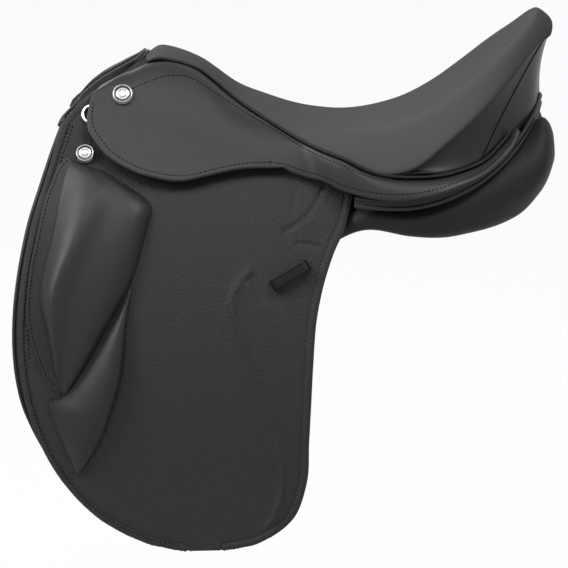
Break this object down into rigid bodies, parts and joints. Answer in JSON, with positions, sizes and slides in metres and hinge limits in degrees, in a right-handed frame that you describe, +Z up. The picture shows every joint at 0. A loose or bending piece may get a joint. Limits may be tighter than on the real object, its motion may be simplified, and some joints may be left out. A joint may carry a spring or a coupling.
{
  "type": "dressage saddle",
  "caption": "Black leather dressage saddle with a deep seat on a tree, stuffed panels, long lifting flaps with thigh blocks, skirts over stirrup bars, and hanging girth straps.",
  "frame": {"origin": "on the horse's spine line, on the mid-plane, straight under the deepest point of the seat", "axes": "+X from the pommel to the cantle, +Y to the horse's off side, +Z up"},
  "size_m": [0.5435, 0.3922, 0.523],
  "materials": {
    "seat_leather": "smooth black calf with a soft sheen",
    "smooth_leather": "smooth black leather, satin",
    "flap_leather": "black leather with a fine grain, semi-matt",
    "panel_leather": "soft black leather, matt",
    "edge_leather": "dyed and polished edge",
    "steel": "forged and brushed",
    "chrome": "polished",
    "web_canvas": "woven webbing",
    "seat_foam": "latex foam",
    "tree_wood": "laminated beech"
  },
  "bodies": {
    "saddle": {"saddle_tree": "tree_wood", "head_plate": "steel", "tree_rivets": "steel", "seat_web": "web_canvas", "rear_girth_web": "web_canvas", "seat_foam": "seat_foam", "seat_cover": "seat_leather", "pommel_facing": "smooth_leather", "cantle_back": "smooth_leather", "gullet_lining": "panel_leather", "near_front_girth_web": "web_canvas", "near_welt": "edge_leather", "near_skirt": "smooth_leather", "near_cantle_side": "smooth_leather", "near_panel": "panel_leather", "near_panel_band": "smooth_leather", "near_sweat_flap": "flap_leather", "near_flap_top": "flap_leather", "near_stirrup_bar": "steel", "near_catch_pin": "steel", "near_pommel_stud": "chrome", "off_front_girth_web": "web_canvas", "off_welt": "edge_leather", "off_skirt": "smooth_leather", "off_cantle_side": "smooth_leather", "off_panel": "panel_leather", "off_panel_band": "smooth_leather", "off_sweat_flap": "flap_leather", "off_flap_top": "flap_leather", "off_stirrup_bar": "steel", "off_catch_pin": "steel", "off_pommel_stud": "chrome"},
    "near_flap_body": {"near_flap": "flap_leather", "near_block_strip": "smooth_leather", "near_thigh_block": "smooth_leather", "near_thigh_wedge": "smooth_leather", "near_block_stud": "chrome", "near_keeper": "edge_leather", "near_dee_rivet": "chrome"},
    "near_lobe_body": {"near_skirt_lobe": "smooth_leather"},
    "near_dee_body": {"near_dee_chape": "smooth_leather", "near_dee": "chrome"},
    "near_catch_body": {"near_bar_catch": "steel"},
    "near_front_strap_body": {"near_front_strap": "flap_leather"},
    "near_rear_strap_body": {"near_rear_strap": "flap_leather"},
    "off_flap_body": {"off_flap": "flap_leather", "off_block_strip": "smooth_leather", "off_thigh_block": "smooth_leather", "off_thigh_wedge": "smooth_leather", "off_block_stud": "chrome", "off_keeper": "edge_leather", "off_dee_rivet": "chrome"},
    "off_lobe_body": {"off_skirt_lobe": "smooth_leather"},
    "off_dee_body": {"off_dee_chape": "smooth_leather", "off_dee": "chrome"},
    "off_catch_body": {"off_bar_catch": "steel"},
    "off_front_strap_body": {"off_front_strap": "flap_leather"},
    "off_rear_strap_body": {"off_rear_strap": "flap_leather"}
  },
  "joints": [
    {"name": "near_flap_lift", "type": "hinge", "parent": "saddle", "child": "near_flap_body", "pos_m": [-0.241, -0.06938, 0.12], "axis": [-0.9231, 0.1938, 0.3323], "range_deg": [0, 75]},
    {"name": "near_lobe_lift", "type": "hinge", "parent": "near_flap_body", "child": "near_lobe_body", "pos_m": [-0.241, -0.06938, 0.12], "axis": [-0.9231, 0.1938, 0.3323], "range_deg": [0, 40]},
    {"name": "near_dee_swivel", "type": "hinge", "parent": "near_flap_body", "child": "near_dee_body", "pos_m": [-0.217, -0.07073, 0.101], "axis": [0, -0.8639, 0.5037], "range_deg": [-8, 25]},
    {"name": "near_catch_turn", "type": "hinge", "parent": "saddle", "child": "near_catch_body", "pos_m": [-0.088, -0.0679, 0.082], "axis": [0, -1, 0], "range_deg": [0, 60]},
    {"name": "near_front_strap_swing", "type": "hinge", "parent": "saddle", "child": "near_front_strap_body", "pos_m": [-0.184, -0.11188, 0.016], "axis": [0, 1, 0], "range_deg": [-6, 6]},
    {"name": "near_rear_strap_swing", "type": "hinge", "parent": "saddle", "child": "near_rear_strap_body", "pos_m": [-0.058, -0.11188, 0.016], "axis": [0, 1, 0], "range_deg": [-6, 6]},
    {"name": "off_flap_lift", "type": "hinge", "parent": "saddle", "child": "off_flap_body", "pos_m": [-0.241, 0.06938, 0.12], "axis": [0.9231, 0.1938, -0.3323], "range_deg": [0, 75]},
    {"name": "off_lobe_lift", "type": "hinge", "parent": "off_flap_body", "child": "off_lobe_body", "pos_m": [-0.241, 0.06938, 0.12], "axis": [0.9231, 0.1938, -0.3323], "range_deg": [0, 40]},
    {"name": "off_dee_swivel", "type": "hinge", "parent": "off_flap_body", "child": "off_dee_body", "pos_m": [-0.217, 0.07073, 0.101], "axis": [0, -0.8639, -0.5037], "range_deg": [-8, 25]},
    {"name": "off_catch_turn", "type": "hinge", "parent": "saddle", "child": "off_catch_body", "pos_m": [-0.088, 0.0679, 0.082], "axis": [0, -1, 0], "range_deg": [0, 60]},
    {"name": "off_front_strap_swing", "type": "hinge", "parent": "saddle", "child": "off_front_strap_body", "pos_m": [-0.184, 0.11188, 0.016], "axis": [0, 1, 0], "range_deg": [-6, 6]},
    {"name": "off_rear_strap_swing", "type": "hinge", "parent": "saddle", "child": "off_rear_strap_body", "pos_m": [-0.058, 0.11188, 0.016], "axis": [0, 1, 0], "range_deg": [-6, 6]}
  ]
}
